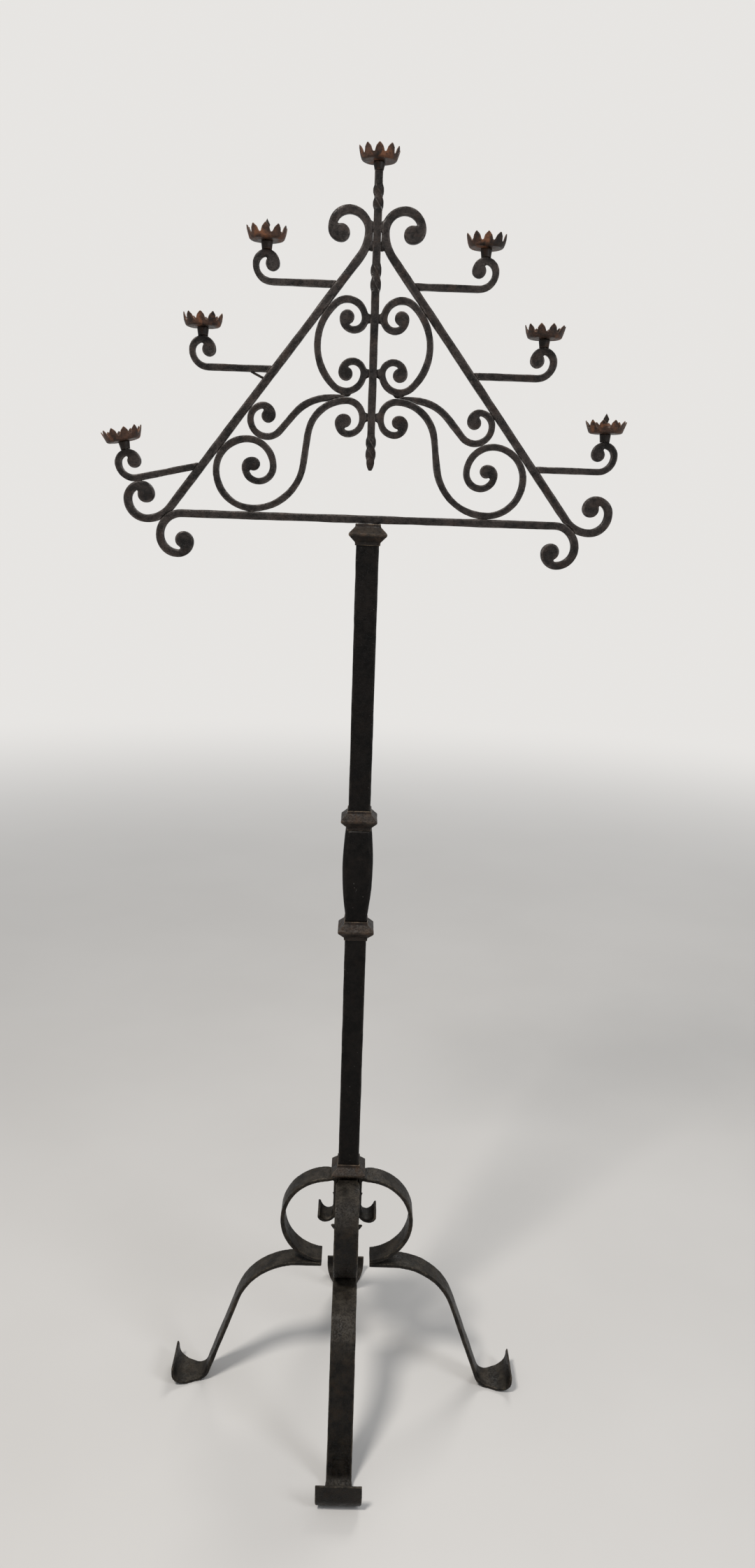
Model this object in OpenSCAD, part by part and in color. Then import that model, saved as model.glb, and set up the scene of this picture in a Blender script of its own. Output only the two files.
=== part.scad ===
// Wrought-iron candle rack: a seven-light scrolled triangle on a square post and four legs.
// Millimetres, +Z up, origin on the floor under the post's axis, the rack's flat side along X.

/* [Base] */
// Height of the legs' upper face where they lap under the base scrolls
leg_height = 210; // [180:1:250]
// Distance from the axis to the middle of each foot's flat
foot_reach = 232; // [200:1:300]
// Distance from the axis to the inner end of the legs and of the scrolls on them
lap_reach = 36; // [32:1:40]
// Height of the four base scrolls
base_scroll_h = 141.5; // [115:0.5:165]
// Width of the flat bar in the legs and base scrolls
flat_w = 35; // [28:1:42]
// Thickness of that flat bar
flat_t = 5.5; // [4:0.5:8]
// Radius of each leg's arch, along the middle of the bar
arch_r = 96; // [70:1:110]
// Distance from the axis at which the arch begins
arch_start = 71.5; // [55:0.5:90]
// Radius of the upturned foot, along the middle of the bar
foot_r = 20; // [15:0.5:30]
// Length of the flat that stands on the floor
foot_flat = 12; // [8:1:16]
// Straight upstand at the end of each foot
foot_lip = 10; // [0:0.5:15]
// Extra height of the front foot's upstand
front_lip_more = 12; // [0:0.5:20]
// Width of the flared foot
foot_w = 63; // [40:1:80]
// Radius of the small hooks under the post, along the middle of the bar
hook_r = 12; // [9:0.5:16]
// Length of bar along the post, above each hook
hook_drop = 51; // [30:1:60]
// Width of the flared hooks
hook_w = 46; // [34:1:54]

/* [Post] */
// Side of the square post
post_w = 30; // [24:0.5:36]
// Chamfer along the post's corners
post_chamfer = 1.6; // [0.5:0.1:4]
// Visible length of the post below the baluster
lower_run = 349.5; // [250:0.5:450]
// Visible length of the baluster
baluster_run = 132; // [100:1:170]
// Visible length of the post above the baluster
upper_run = 357; // [250:1:450]
// Depth of the post below the base collar
post_tail = 44; // [30:1:60]
// Greatest width of the baluster
baluster_w = 42; // [38:0.5:48]
// Width of the baluster at its upper end
baluster_top_w = 36; // [31:0.5:40]

/* [Collars] */
// Height of each square collar
collar_h = 28; // [20:1:36]
// Width of a collar at its ridge
collar_w = 50; // [42:1:60]
// Width of a collar at its ends
collar_end_w = 33; // [32:0.5:38]
// Height of the plain neck at each end of a collar
neck_h = 4; // [0:0.5:6]
// Height of the flat ridge
ridge_h = 2.5; // [1:0.5:6]
// Depth of bevel missing under the base collar, which sits down on the scrolls
base_collar_cut = 6; // [0:0.5:10]

/* [Frame] */
// Distance from the axis to the lowest point of each rail
rail_foot = 289; // [270:1:350]
// Height of the weld between rails and rod, above the base bar
rail_top = 349.5; // [335:0.5:430]
// Height of the rails' lowest point above the base bar's middle
rail_lift = -8; // [-9:0.5:-6]
// Width of the bar in the rails and base bar
rail_w = 10; // [8:0.5:12]
// Width of the bar in the scrolls
scroll_w = 8.4; // [7:0.2:10]
// Side of the square rod up the middle
rod_w = 10; // [8:0.5:12]
// Radius of the rails' bend below the rod
rail_bend_r = 50; // [30:1:70]
// Distance from the axis at which the base bar starts to curl
base_bar_run = 244; // [230:1:255]
// Radius of the base bar's curl
base_curl_r = 28; // [22:0.5:32]
// Height between the two welds of a C-scroll and the rod
c_spacing = 65.5; // [50:0.5:80]
// Radius of the big scrolls' lower ring
ring_r = 46.5; // [38:0.5:50]
// Straight length in the middle of the big scrolls
big_straight = 37; // [10:1:50]
// Straight length in the middle of the small scrolls
small_straight = 28; // [15:1:36]
// Thickness of the small scrolls' tails where they are scarfed in
scarf_t = 3; // [2:0.5:5]
// Reach of the welds between scrolls and rod
weld_reach = 2.7; // [1.5:0.1:5]
// Length of rod below the lowest scroll weld
rod_tail = 66; // [40:1:90]
// Height of the rod above the rails' weld
rod_head = 69; // [50:1:110]

/* [Arms] */
// Height of the lower pair of arms above the base bar's middle
lower_arm_h = 70; // [60:0.5:85]
// Height of the middle pair of arms above the base bar's middle
middle_arm_h = 182.5; // [160:0.5:200]
// Height of the upper pair of arms above the base bar's middle
upper_arm_h = 286.5; // [270:0.5:300]
// Drop of the sagged lower left arm's root below its fellow's
root_drop = 10; // [0:0.5:16]
// Reach of each arm from the rail to its candle cup
arm_reach = 84.5; // [75:0.5:110]
// Width of the bar in the arms
arm_w = 8.2; // [7:0.2:10]
// Radius of each arm's outer bend
arm_bend_r = 20; // [16:0.5:26]
// Radius of the curl under each cup
arm_curl_r = 13.4; // [11:0.2:18]
// Sag of that arm, as a share of what brings it down on the rail's curl
sag_share = 1; // [0:0.1:1]

/* [Cups] */
// Number of petals round each cup
petals = 10; // [8:1:12]
// Radius at the petals' tips
cup_r = 26.8; // [22:0.2:30]
// Radius of the cup's flat floor
cup_floor_r = 18.5; // [15:0.5:21]
// Height of a cup with its petals
cup_h = 15.5; // [12:0.5:20]
// Height of the cup's wall below the petals
cup_wall_h = 7.2; // [5:0.2:8]
// Thickness of the cups' sheet
cup_t = 1.4; // [1:0.1:2]
// Radius of the stub under each cup
stem_r = 7.2; // [5.5:0.1:9]
// Height of the stub under each cup
stem_h = 10; // [7:0.5:14]
// Radius of the rivet through the cup's floor
rivet_r = 2.5; // [2:0.1:3.5]
// Height of the two candle spikes above the cup's floor
spike_h = 25; // [18:1:34]

/* [Hidden] */
// Clearance between forged pieces that touch
seat = 0.25;
// Clearance all round the post in its collars and the rivet in its hole
fit = 0.15;
// Largest turn between two points of a bend
turn = 7.5;

// Colours
frame_colour = "#35322f";
post_colour = "#1d1c1c";
collar_colour = "#4c4038";
base_colour = "#38353a";
cup_colour = "#5a3a2a";

// ---------- heights, from the floor up ----------
scroll_top_z = leg_height + base_scroll_h;
lower_post_z = scroll_top_z + collar_h - base_collar_cut;
lower_mid_z = lower_post_z + lower_run;
baluster_z = lower_mid_z + collar_h;
upper_mid_z = baluster_z + baluster_run;
upper_post_z = upper_mid_z + collar_h;
top_collar_z = upper_post_z + upper_run;
base_bar_z = top_collar_z + collar_h + rail_w / 2;

// ---------- bars as paths of tangent arcs ----------
// A station is [x, z, heading, width]. A segment is [radius, turn, end width]: a positive turn
// is to the left, and a turn of 0 makes the first number a straight length.
function left_of(h) = [-sin(h), cos(h)];
function steps(s) = s[1] == 0 ? 1 : ceil(abs(s[1]) / turn);
function centre_of(p, s) = [p[0], p[1]] + sign(s[1]) * s[0] * left_of(p[2]);
function along(p, s, t) =
  let (h = p[2] + s[1] * t, w = p[3] + (s[2] - p[3]) * t)
  s[1] == 0 ? [p[0] + s[0] * t * cos(h), p[1] + s[0] * t * sin(h), h, w]
            : let (q = centre_of(p, s) - sign(s[1]) * s[0] * left_of(h)) [q[0], q[1], h, w];
function path(p, segs, i = 0) =
  i == len(segs) ? [p]
  : let (s = [segs[i][0], segs[i][1], is_undef(segs[i][2]) ? p[3] : segs[i][2]], n = steps(s))
    concat([for (k = [0:n - 1]) along(p, s, k / n)], path(along(p, s, 1), segs, i + 1));
function last(v) = v[len(v) - 1];
function flip(st) = [for (i = [len(st) - 1:-1:0]) [st[i][0], st[i][1], st[i][2] + 180, st[i][3]]];
function tail_of(v) = [for (i = [1:len(v) - 1]) v[i]];
function side(st, k) = [for (p = st) [p[0], p[1]] + k * p[3] / 2 * left_of(p[2])];
function outline(st) = concat(side(st, 1), side(flip(st), 1));
function eye_centre(p, r, k) = [p[0], p[1]] + k * (r - p[3] / 2) * left_of(p[2]);
function polar(a) = [cos(a), sin(a)];

// Straight that leaves one circle and joins the next: [heading, length]. Turns are +1 left, -1 right.
function tangent(c1, r1, k1, c2, r2, k2) =
  let (d = c2 - c1, k = k2 * r2 - k1 * r1, l = sqrt(d * d - k * k))
  [atan2(d[1], d[0]) - atan2(k, l), l];
function on_circle(c, r, k, h) = c - k * r * left_of(h);

module flat_bar(st, t) {
  rotate([90, 0, 0])
    linear_extrude(t, center = true)
      polygon(outline(st));
}
// Rolled end of a bar: a disc whose rim runs on from the bar's outer side
module eye(c, r, t) {
  translate([c[0], 0, c[1]])
    rotate([90, 0, 0])
      cylinder(h = t, r = r, center = true, $fn = r > 20 ? 128 : 64);
}
module mirrored(side_name) {
  if (side_name == "left")
    mirror([1, 0, 0]) children();
  else
    children();
}
module turned(compass) {
  angle = compass == "right" ? 0 : compass == "back" ? 90 : compass == "left" ? 180 : 270;
  rotate([0, 0, angle]) children();
}

// ---------- base ----------
// The hook and the scroll above it meet this far down the post
split_h = 6;
// Thickness the hooks are drawn out to
hook_end_t = 3.5;
tail_x = post_w / 2 + seat + flat_t / 2;
bend_r = flat_t / 2 + 1.5;
// Flat on top of each base scroll, between the bend and the ring
top_flat = 5.5;
big_r = (base_scroll_h - flat_t) / 2;
scroll_centre_x = tail_x + bend_r + top_flat;
lap_turn = 180 - asin((lap_reach - scroll_centre_x) / big_r);
tail_split = scroll_top_z - flat_t / 2 - bend_r - split_h;

// Side profile from the top bend round to the lap, bar travelling outwards
scroll_st = path([tail_x, tail_split, 90, flat_t],
  [[split_h, 0], [bend_r, -90], [top_flat, 0],
   [big_r, -lap_turn]]);
hook_st = path([tail_x, tail_split, -90, flat_t],
  [[hook_drop - split_h, 0], [hook_r, 90, flat_t], [hook_r, 85, hook_end_t]]);
hook_x = tail_x + 2 * hook_r + flat_t / 2;

// Half-widths of the bars seen from above, out along the leg
scroll_plan = [[0, post_w / 2 - 1], [tail_x + flat_t / 2, post_w / 2 - 1],
  [tail_x + flat_t / 2 + 9, flat_w / 2], [foot_reach, flat_w / 2]];
hook_plan = [[0, post_w / 2 - 1], [tail_x + flat_t / 2 + 1, post_w / 2 - 1],
  [hook_x - 12, post_w / 2 + 2], [hook_x - 3, hook_w / 2], [hook_x + 5, hook_w / 2]];

module plan_prism(plan, z0, z1) {
  pts = concat(plan, [for (i = [len(plan) - 1:-1:0]) [plan[i][0], -plan[i][1]]]);
  translate([0, 0, z0])
    linear_extrude(z1 - z0)
      polygon(pts);
}
// Seen along the leg, each hook widens evenly up to its lip
module hook_flare() {
  lip_z = last(hook_st)[1];
  bar_w = post_w / 2 + 2;
  rotate([90, 0, 90])
    linear_extrude(hook_x + hook_w)
      polygon([[-bar_w, lip_z - 2 * hook_w], [bar_w, lip_z - 2 * hook_w], [bar_w, lip_z - 1.2 * hook_r],
        [hook_w / 2, lip_z - 1], [hook_w / 2, scroll_top_z], [-hook_w / 2, scroll_top_z],
        [-hook_w / 2, lip_z - 1], [-bar_w, lip_z - 1.2 * hook_r]]);
}
module base_scroll(compass) {
  color(base_colour)
    turned(compass)
      union() {
        intersection() {
          flat_bar(scroll_st, 2 * flat_w);
          plan_prism(scroll_plan, 0, scroll_top_z + 1);
        }
        intersection() {
          flat_bar(hook_st, 2 * hook_w);
          plan_prism(hook_plan, 0, scroll_top_z + 1);
          hook_flare();
        }
      }
}

// The ring's end stands this far above its lowest point, so the leg lies that much higher
lap_rise = let (r = big_r + flat_t / 2) r - sqrt(r * r - pow(lap_reach - scroll_centre_x, 2));
leg_z = leg_height + lap_rise - flat_t / 2 - seat;
arch_c = [arch_start, leg_z - arch_r];
foot_c = [foot_reach - foot_flat / 2, foot_r + flat_t / 2];
leg_run = tangent(arch_c, arch_r, -1, foot_c, foot_r, 1);
function leg_path(lip) = path([lap_reach, leg_z, 0, flat_t],
  [[arch_start - lap_reach, 0], [arch_r, leg_run[0]], [leg_run[1], 0],
   [foot_r, -leg_run[0]], [foot_flat, 0], [foot_r, 86, 4], [lip, 0, 3]]);
foot_x = foot_reach + foot_flat / 2 + foot_r;
leg_plan = [[0, flat_w / 2], [foot_x - 45, flat_w / 2], [foot_x - 32, flat_w / 2 + 2.5],
  [foot_x - 20, flat_w / 2 + 8], [foot_x - 9, foot_w / 2 - 1.5], [foot_x, foot_w / 2],
  [foot_x + 9, foot_w / 2]];
// Rounded lower corners of the scoop, across and up
lip_corner_w = 10;
lip_corner_h = 21;

module leg(compass) {
  color(base_colour)
    turned(compass)
      difference() {
        intersection() {
          flat_bar(leg_path(foot_lip + (compass == "front" ? front_lip_more : 0)), 2 * foot_w);
          plan_prism(leg_plan, -1, leg_height + 1);
        }
        // The lower corners of the scoop are rounded off
        for (k = [-1, 1])
          translate([foot_reach, 0, 0])
            mirror([0, k < 0 ? 1 : 0, 0])
              rotate([90, 0, 90])
                linear_extrude(foot_r + 20)
                  polygon([for (a = [0:15:90])
                    [foot_w / 2 + 1 - lip_corner_w * (1 - sin(a)), lip_corner_h * (1 - cos(a))],
                    [foot_w / 2 + 2, -2], [foot_w / 2 + 1 - lip_corner_w, -2]]);
      }
}

// ---------- post ----------
function chamfered_square(w, c) =
  [for (q = [0:3], k = [-1, 1])
    let (a = 90 * q, u = [cos(a), sin(a)], v = [-sin(a), cos(a)]) w / 2 * u + k * (w / 2 - c) * v];

module post_length(z0, z1) {
  color(post_colour)
    translate([0, 0, z0])
      linear_extrude(z1 - z0)
        polygon(chamfered_square(post_w, post_chamfer));
}
module lower_post() {
  post_length(scroll_top_z - post_tail, lower_mid_z + collar_h / 2 - seat);
}
module upper_post() {
  post_length(upper_mid_z + collar_h / 2 + seat, base_bar_z - rail_w / 2 - seat);
}

// A collar is a square bead, bevelled both ways from its ridge
module collar(z) {
  half_profile = [[collar_end_w / 2, 0], [collar_end_w / 2, neck_h],
    [collar_w / 2, (collar_h - ridge_h) / 2], [collar_w / 2, (collar_h + ridge_h) / 2],
    [collar_end_w / 2, collar_h - neck_h], [collar_end_w / 2, collar_h]];
  profile = concat(half_profile, [for (p = half_profile) [-p[0], collar_h - p[1]]]);
  color(collar_colour)
    translate([0, 0, z])
      difference() {
        intersection_for (a = [0, 90])
          rotate([90, 0, a])
            linear_extrude(collar_w + 2, center = true)
              polygon(profile);
        translate([0, 0, -1])
          linear_extrude(collar_h + 2)
            square(post_w + 2 * fit, center = true);
      }
}
module base_collar() {
  difference() {
    collar(scroll_top_z + seat - base_collar_cut);
    translate([0, 0, scroll_top_z + seat - base_collar_cut - 1])
      linear_extrude(base_collar_cut + 1)
        square(collar_w + 2, center = true);
  }
}
module lower_mid_collar() { collar(lower_mid_z); }
module upper_mid_collar() { collar(upper_mid_z); }
module top_collar() { collar(top_collar_z - seat); }

// Baluster: a square bar swelling to its widest two thirds up, with its corners flattened
swell_at = 0.6;
function swell(t, w0, w1, w2) =
  t < swell_at ? w0 + (w1 - w0) * sin(90 * t / swell_at)
               : w2 + (w1 - w2) * cos(90 * (t - swell_at) / (1 - swell_at));
function barrel(w0, w1, w2, n = 20) = concat(
  [for (i = [0:n]) [swell(i / n, w0, w1, w2) / 2, baluster_run * i / n]],
  [for (i = [n:-1:0]) [-swell(i / n, w0, w1, w2) / 2, baluster_run * i / n]]);

module baluster() {
  tenon_w = post_w - 2 * post_chamfer;
  color(post_colour)
    translate([0, 0, baluster_z])
      union() {
        translate([0, 0, seat])
          between_collars()
            intersection() {
              for_axes([0, 90], barrel(post_w - 1, baluster_w, baluster_top_w));
              for_axes([45, 135], barrel(1.3 * post_w, 1.26 * baluster_w, 1.22 * baluster_top_w));
            }
        translate([0, 0, -collar_h / 2 + seat])
          linear_extrude(baluster_run + collar_h - 2 * seat)
            square(tenon_w, center = true);
      }
}
// The swelling stops a clearance short of the collar at each end
module between_collars() {
  intersection() {
    children();
    linear_extrude(baluster_run - 2 * seat)
      square(2 * baluster_w, center = true);
  }
}
module for_axes(angles, pts) {
  intersection_for (a = angles)
    rotate([90, 0, a])
      linear_extrude(2 * baluster_w, center = true)
        polygon(pts);
}

// ---------- frame: base bar and rails ----------
eye_r = 1.07 * rail_w;
small_eye_r = scroll_w;

base_half = path([0, base_bar_z, 0, rail_w],
  [[base_bar_run, 0], [base_curl_r, -90], [0.84 * base_curl_r, -90], [0.55 * base_curl_r, -90],
   [0.3 * base_curl_r, -85]]);
base_st = concat(flip([for (p = base_half) [-p[0], p[1], 180 - p[2], p[3]]]), tail_of(base_half));

module base_bar() {
  c = eye_centre(last(base_half), eye_r, -1);
  color(frame_colour)
    union() {
      flat_bar(base_st, rail_w);
      eye(c, eye_r, rail_w);
      eye([-c[0], c[1]], eye_r, rail_w);
    }
}

weld_x = rod_w / 2 + seat + rail_w / 2;
weld_z = base_bar_z + rail_top;
bend_c = [weld_x + rail_bend_r, weld_z];
foot_bend_r = 38;
// Radii of the curl at each rail's foot, winding inwards
curl_low_r = 24.5;
rail_foot_c = [rail_foot, base_bar_z + rail_lift + foot_bend_r];
curl_top_r = 17.8;
curl_in_r = 12;
rail_run = tangent(bend_c, rail_bend_r, 1, rail_foot_c, foot_bend_r, 1);
rail_a = rail_run[0];
rail_down = path([weld_x, weld_z, -90, rail_w],
  [[rail_bend_r, 90 + rail_a], [rail_run[1], 0], [foot_bend_r, -rail_a],
   [curl_low_r, 90], [curl_top_r, 90], [curl_in_r, 85]]);
// Radii of the curl at each rail's top, winding inwards
crown_r = [24.2, 21.4, 11.5];
rail_up = path([weld_x, weld_z, 90, rail_w], [for (r = crown_r) [r, -90]]);
rail_st = concat(flip(rail_up), tail_of(rail_down));

// Reach of the weld between rail and rod, below and above the place where they touch
top_weld_down = 18;
top_weld_up = 11;

module rail(side_name) {
  color(frame_colour)
    mirrored(side_name)
      difference() {
        union() {
          flat_bar(rail_st, rail_w);
          eye(eye_centre(last(rail_down), eye_r, 1), eye_r, rail_w);
          eye(eye_centre(last(rail_up), eye_r, -1), eye_r, rail_w);
          // Weld that fills the space beside the rod
          translate([rod_w / 2 + seat, -0.42 * rail_w, weld_z - top_weld_down])
            cube([rail_w / 2, 0.84 * rail_w, top_weld_down + top_weld_up]);
        }
        // Filed hollow where it lies on the base bar's curl
        eye([base_bar_run, base_bar_z - base_curl_r], base_curl_r + rail_w / 2 + seat, 2 * rail_w);
        translate([0, -rail_w, base_bar_z - 2 * rail_w])
          cube([base_bar_run, 2 * rail_w, 2.5 * rail_w + seat]);
      }
}

// The straight middle of the right rail: a point on it, its direction and its inward normal
rail_p = on_circle(bend_c, rail_bend_r, 1, rail_a);
rail_u = polar(rail_a);
rail_in = -left_of(rail_a);
function rail_x(z, off) = rail_p[0] + (off - (z - rail_p[1]) * rail_in[1]) / rail_in[0];

// ---------- frame: scrolls, right-hand side ----------
half = scroll_w / 2;
touch_x = rod_w / 2 + weld_reach + half;
over_r = 22.5;
// Radii of the C-scrolls' inner windings
c_in_r = [14, 5.7];
// Turn of a C-scroll before its back begins
c_turn = 132;
c_back_r = (c_spacing / 2 + over_r * sin(180 - c_turn)) / sin(180 - c_turn);

// Short weld that fills the space between a curl and the rod
module weld(z) {
  x0 = rod_w / 2 + seat;
  translate([x0, -0.42 * scroll_w, z - half])
    cube([touch_x - x0, 0.84 * scroll_w, scroll_w]);
}

// Lower half of a C-scroll, from its back's middle; its height follows from touching the rail
c_mid_x = touch_x + over_r + over_r * cos(180 - c_turn) + c_back_r * (1 - cos(180 - c_turn));
c_mid_z = let (bx = c_mid_x - c_back_r, off = rail_w / 2 + seat + c_back_r + half)
  rail_p[1] + (off - (bx - rail_p[0]) * rail_in[0]) / rail_in[1];
c_half = path([c_mid_x, c_mid_z, -90, scroll_w],
  [[c_back_r, c_turn - 180], [over_r, -c_turn], [c_in_r[0], -180], [c_in_r[1], -100]]);
c_st = concat(flip([for (p = c_half) [p[0], 2 * c_mid_z - p[1], -p[2], p[3]]]), tail_of(c_half));

module c_scroll(side_name) {
  c = eye_centre(last(c_half), small_eye_r, -1);
  color(frame_colour)
    mirrored(side_name)
      union() {
        flat_bar(c_st, scroll_w);
        eye(c, small_eye_r, scroll_w);
        eye([c[0], 2 * c_mid_z - c[1]], small_eye_r, scroll_w);
        weld(c_mid_z - c_spacing / 2);
        weld(c_mid_z + c_spacing / 2);
      }
}

// Big scroll: from its weld on the rod over the top and down into a ring on the base bar
top_r = 20;
shoulder_r = 50;
// Radii of the curl under the big scrolls' weld, winding inwards
curl_back_r = [18, 13, 7.5];
c_low_c = [touch_x + over_r, c_mid_z - c_spacing / 2];
big_top_x = touch_x + top_r;
big_weld_z = c_low_c[1]
  - sqrt(pow(over_r + top_r + scroll_w + scarf_t, 2) - pow(over_r - top_r, 2));
shoulder_c = [big_top_x, big_weld_z + top_r - shoulder_r];
// The ring winds in as a spiral; its second quarter lies against the rail
ring_over_r = 0.87 * ring_r;
ring_side_r = 0.72 * ring_r;
ring_low = base_bar_z + rail_w / 2 + seat + half;
ring_over_c = let (z = ring_low + ring_r) [rail_x(z, rail_w / 2 + seat + half + ring_over_r), z];
ring_side_c = ring_over_c + [0, ring_over_r - ring_side_r];
ring_x = ring_over_c[0] - ring_r + ring_over_r;
approach_r = let (dx = ring_x - big_top_x, h = shoulder_c[1] - ring_low)
  (dx * dx + h * h - pow(big_straight, 2) - pow(shoulder_r, 2)) / (2 * (shoulder_r + h));
big_run = tangent(shoulder_c, shoulder_r, -1, [ring_x, ring_low + approach_r], approach_r, 1);
big_out = path([touch_x, big_weld_z, 90, scroll_w],
  [[top_r, -90], [shoulder_r, big_run[0]], [big_run[1], 0], [approach_r, -big_run[0]],
   [ring_r, 90], [ring_over_r, 90], [ring_side_r, 90], [0.41 * ring_r, 90], [0.37 * ring_r, 90],
   [0.19 * ring_r, 110]]);
big_in = path([touch_x, big_weld_z, -90, scroll_w],
  [[3, 0], [curl_back_r[0], 90], [curl_back_r[1], 90], [curl_back_r[2], 110]]);
big_st = concat(flip(big_in), tail_of(big_out));

module big_scroll(side_name) {
  color(frame_colour)
    mirrored(side_name)
      union() {
        flat_bar(big_st, scroll_w);
        eye(eye_centre(last(big_out), small_eye_r, 1), small_eye_r, scroll_w);
        eye(eye_centre(last(big_in), small_eye_r, 1), small_eye_r, scroll_w);
        weld(big_weld_z);
      }
}

// Small scroll: its curl rests on the ring and the rail; its tail is scarfed in between the
// C-scroll and the big scroll
low_curl_r = 21.5;
rail_curl_r = 16.8;
small_over_r = 61;
// Radii of the small scrolls' inner windings
small_in_r = [11.3, 6];
small_line = rail_p + rail_in * (rail_w / 2 + seat + half + rail_curl_r)
  - [low_curl_r - rail_curl_r, 0];
small_c = let (q = small_line - ring_side_c, b = q * rail_u)
  let (r = ring_side_r + low_curl_r + scroll_w + seat)
  small_line + (-b - sqrt(b * b - q * q + r * r)) * rail_u;
small_level = c_low_c[1] - over_r - scroll_w - seat;
small_over_c = let (z = small_level - small_over_r, r = low_curl_r + small_over_r)
  [small_c[0] - sqrt(r * r + pow(small_straight, 2) - pow(z - small_c[1], 2)), z];
// The bar travels from the tail's end out over the shoulder and down into the curl
small_run = tangent(small_over_c, small_over_r, -1, small_c, low_curl_r, 1);
small_st = path([c_low_c[0], small_level, 0, scroll_w],
  [[small_over_c[0] - c_low_c[0], 0], [small_over_r, small_run[0]], [small_run[1], 0],
   [low_curl_r, 90 - small_run[0]], [rail_curl_r, 90], [small_in_r[0], 90], [small_in_r[1], 80]]);

module small_scroll(side_name) {
  color(frame_colour)
    mirrored(side_name)
      difference() {
        union() {
          flat_bar(small_st, scroll_w);
          eye(eye_centre(last(small_st), small_eye_r, 1), small_eye_r, scroll_w);
        }
        eye(c_low_c, over_r + half + seat, 2 * scroll_w);
        eye(shoulder_c, shoulder_r + half + seat, 2 * scroll_w);
      }
}

// ---------- rod ----------
rod_low_z = big_weld_z - rod_tail;
rod_high_z = weld_z + rod_head;
// Twisted lengths as [lowest point, length, turn]
twist_h = 30;
twists = [[rod_low_z + 13, twist_h, 180], [c_mid_z + c_spacing / 2 + over_r + 9, twist_h + 4, 180],
  [weld_z + 24, twist_h, 180]];

module rod_straight(z0, z1) {
  translate([-rod_w / 2, -rod_w / 2, z0])
    cube([rod_w, rod_w, z1 - z0]);
}
point_h = 9;
// Each plain length runs a little way into the twisted ones, so that the rod is one bar
rod_lap = 0.4;
module centre_rod() {
  color(frame_colour)
    union() {
      rod_straight(twists[0][0] + twists[0][1] - rod_lap, twists[1][0] + rod_lap);
      rod_straight(twists[1][0] + twists[1][1] - rod_lap, twists[2][0] + rod_lap);
      rod_straight(twists[2][0] + twists[2][1] - rod_lap, rod_high_z);
      for (t = twists)
        translate([0, 0, t[0]])
          linear_extrude(t[1], twist = t[2], slices = 14)
            square(rod_w, center = true);
      // The foot of the rod is drawn out to a blunt point
      rod_straight(rod_low_z + point_h, twists[0][0] + rod_lap);
      intersection_for (a = [0, 90])
        rotate([90, 0, a])
          translate([0, rod_low_z, 0])
            linear_extrude(rod_w, center = true)
              polygon([[-0.2 * rod_w, 0], [0.2 * rod_w, 0], [0.4 * rod_w, 0.5 * point_h],
                [rod_w / 2, point_h], [-rod_w / 2, point_h], [-0.4 * rod_w, 0.5 * point_h]]);
    }
}

// ---------- arms, cups and what stands in them ----------
// Every light is placed by [side, level, sag]; the top light has no arm
arm_levels = [lower_arm_h, middle_arm_h, upper_arm_h, lower_arm_h - root_drop];
// Place of the sagged arm in that list
fallen = 3;
function level_z(i) = base_bar_z + arm_levels[i];
function arm_root(i) = [rail_x(level_z(i), -rail_w / 2 - seat), level_z(i)];
arm_rise = arm_bend_r + arm_curl_r + arm_w / 2;
function arm_path(i) = path([arm_root(i)[0] - 2 * rail_w, level_z(i), 0, arm_w],
  [[arm_reach + 2 * rail_w + arm_curl_r - arm_bend_r, 0],
   [arm_bend_r, 90], [arm_curl_r, 90], [0.92 * arm_curl_r, 88]]);
// Angle at which the sagged arm lies on the curl at the rail's foot
rest_c = rail_foot_c + [curl_low_r - curl_top_r, curl_low_r + curl_top_r - foot_bend_r - curl_in_r];
rest_sag = let (d = rest_c - arm_root(fallen), r = curl_in_r + rail_w / 2 + arm_w / 2 + seat)
  atan2(-d[1], d[0]) - asin(r / norm(d));
arm_sag = sag_share * rest_sag;

module sagged(i, sag) {
  root = arm_root(i);
  translate([root[0], 0, root[1]])
    rotate([0, sag, 0])
      translate([-root[0], 0, -root[1]])
        children();
}
module arm(side_name, i, sag = 0) {
  st = arm_path(i);
  r = 1.07 * arm_w;
  color(frame_colour)
    mirrored(side_name)
      difference() {
        sagged(i, sag)
          union() {
            flat_bar(st, arm_w);
            eye(eye_centre(last(st), r, 1), r, arm_w);
          }
        // The inner end is cut to lie along the rail
        translate([rail_p[0], 0, rail_p[1]])
          rotate([0, -rail_a, 0])
            translate([-50, -rail_w, -4 * rail_w])
              cube([700, 2 * rail_w, 4 * rail_w + rail_w / 2 + seat]);
      }
}
// Places its children at the seat on top of an arm's curl
module on_arm(side_name, i, sag = 0) {
  mirrored(side_name)
    sagged(i, sag)
      translate([arm_root(i)[0] + arm_reach, 0, level_z(i) + arm_rise])
        children();
}
module on_rod() {
  translate([0, 0, rod_high_z + seat])
    children();
}

rivet_head_h = 1.2;
module rivet() {
  translate([0, 0, stem_h - 1])
    cylinder(h = cup_t + 1 + 2 * seat, r = rivet_r, $fn = 32);
  translate([0, 0, stem_h + cup_t + 2 * seat])
    cylinder(h = rivet_head_h, r1 = 1.9 * rivet_r, r2 = 1.2 * rivet_r, $fn = 32);
}
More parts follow.
